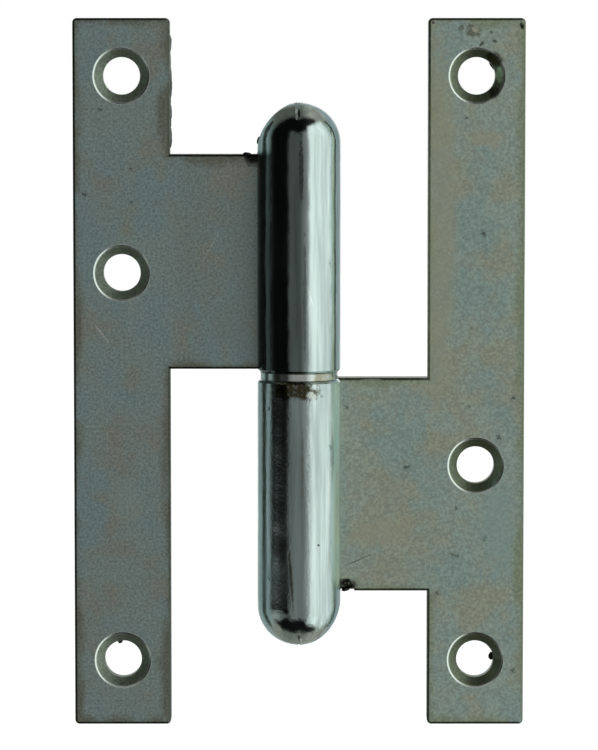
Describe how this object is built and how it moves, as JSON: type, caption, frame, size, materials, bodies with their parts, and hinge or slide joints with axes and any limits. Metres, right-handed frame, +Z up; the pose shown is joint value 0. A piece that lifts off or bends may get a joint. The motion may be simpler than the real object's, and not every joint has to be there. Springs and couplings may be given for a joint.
{
  "type": "lift-off hinge",
  "caption": "Steel lift-off hinge with rolled, domed knuckles, a fixed pin, a loose ring and countersunk screw strips.",
  "frame": {"origin": "on the pin axis at mid-height, which is the centre of the whole hinge opened flat", "axes": "+Z up along the pin, -Y to the front where the screws go in, +X towards the male leaf"},
  "size_m": [0.07, 0.0129, 0.11],
  "materials": {
    "left_plate": "satin zinc plating, mottled grey-blue",
    "right_plate": "satin zinc plating, mottled olive-grey",
    "pin_steel": "bright zinc plating",
    "ring_steel": "dull zinc plating"
  },
  "bodies": {
    "frame_leaf": {"male_leaf": "right_plate", "pin": "pin_steel"},
    "loose_ring": {"ring": "ring_steel"},
    "door_leaf": {"female_leaf": "left_plate"}
  },
  "joints": [
    {"name": "swing", "type": "hinge", "parent": "frame_leaf", "child": "loose_ring", "pos_m": [0, 0, 0], "axis": [0, 0, 1], "range_deg": [-140, 180]},
    {"name": "lift_off", "type": "slide", "parent": "loose_ring", "child": "door_leaf", "axis": [0, 0, 1], "range_m": [0, 0.03]}
  ]
}
